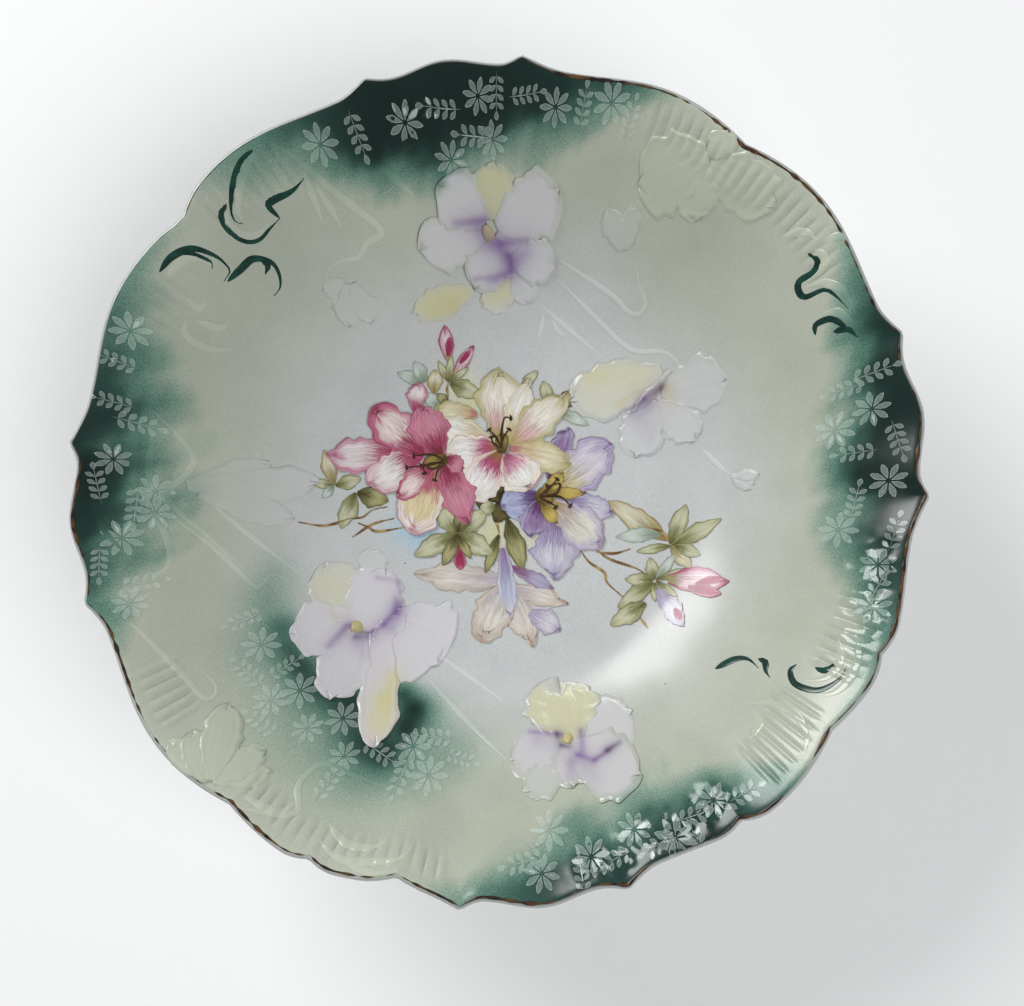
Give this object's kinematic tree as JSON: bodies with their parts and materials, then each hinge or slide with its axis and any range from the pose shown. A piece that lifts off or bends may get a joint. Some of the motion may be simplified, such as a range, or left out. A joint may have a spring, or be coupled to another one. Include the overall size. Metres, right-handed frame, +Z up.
{
  "type": "serving bowl",
  "caption": "Round porcelain serving bowl with a scalloped rim, iris flowers in relief, a printed bouquet in the well, shaded green borders and a foot ring.",
  "frame": {"origin": "centre of the bowl's outline, on the plane that the foot ring rests on", "axes": "+Z up out of the bowl, +Y towards the iris with the yellow top petal, +X to the right of that flower"},
  "size_m": [0.2672, 0.2672, 0.0649],
  "materials": {
    "wall_glaze": "clear gloss glaze over a sprayed green and white ground",
    "foot_glaze": "glazed white, ground matt on the resting face",
    "rim_enamel": "worn dark gilt line",
    "petal_lavender": "glossy glaze, tinted lavender",
    "petal_cream": "glossy glaze, tinted cream yellow",
    "relief_white": "glossy white glaze",
    "relief_green": "glossy pale green glaze",
    "stroke_green": "hand-painted dark green enamel",
    "print_leaf": "printed enamel under a gloss glaze",
    "print_twig": "printed enamel under a gloss glaze",
    "print_violet": "printed enamel under a gloss glaze",
    "print_white": "printed enamel under a gloss glaze",
    "print_pink": "printed enamel under a gloss glaze",
    "print_cream": "printed enamel under a gloss glaze",
    "stencil_pale": "pale stencilled colour under a gloss glaze"
  },
  "bodies": {
    "root": {"bowl_body": "wall_glaze", "foot_ring": "foot_glaze", "rim_line": "rim_enamel", "iris_top": "petal_lavender", "iris_right": "petal_cream", "iris_lower_left": "petal_lavender", "iris_bottom": "petal_cream", "iris_left": "relief_white", "iris_rim_upper_right": "relief_green", "iris_rim_lower_left": "relief_green", "bud_upper_left": "relief_white", "bud_upper_right": "relief_white", "bud_right": "relief_white", "stems_right": "relief_white", "stems_left": "relief_green", "stems_lower": "relief_white", "scrolls_upper_left": "relief_green", "scrolls_upper_right": "relief_green", "scrolls_lower_right": "relief_green", "scrolls_lower_left": "relief_green", "painted_scrolls_upper_left": "stroke_green", "painted_scrolls_right": "stroke_green", "painted_scrolls_lower_right": "stroke_green", "print_twigs": "print_twig", "print_leaves": "print_leaf", "print_violet_bloom": "print_violet", "print_white_bloom": "print_white", "print_pink_bloom": "print_pink", "print_hanging_bloom": "print_cream", "print_right_sprig": "print_leaf", "print_pink_buds": "print_pink", "stencil_top": "stencil_pale", "stencil_right": "stencil_pale", "stencil_left": "stencil_pale", "stencil_bottom": "stencil_pale", "stencil_lower_left": "stencil_pale"}
  },
  "joints": []
}
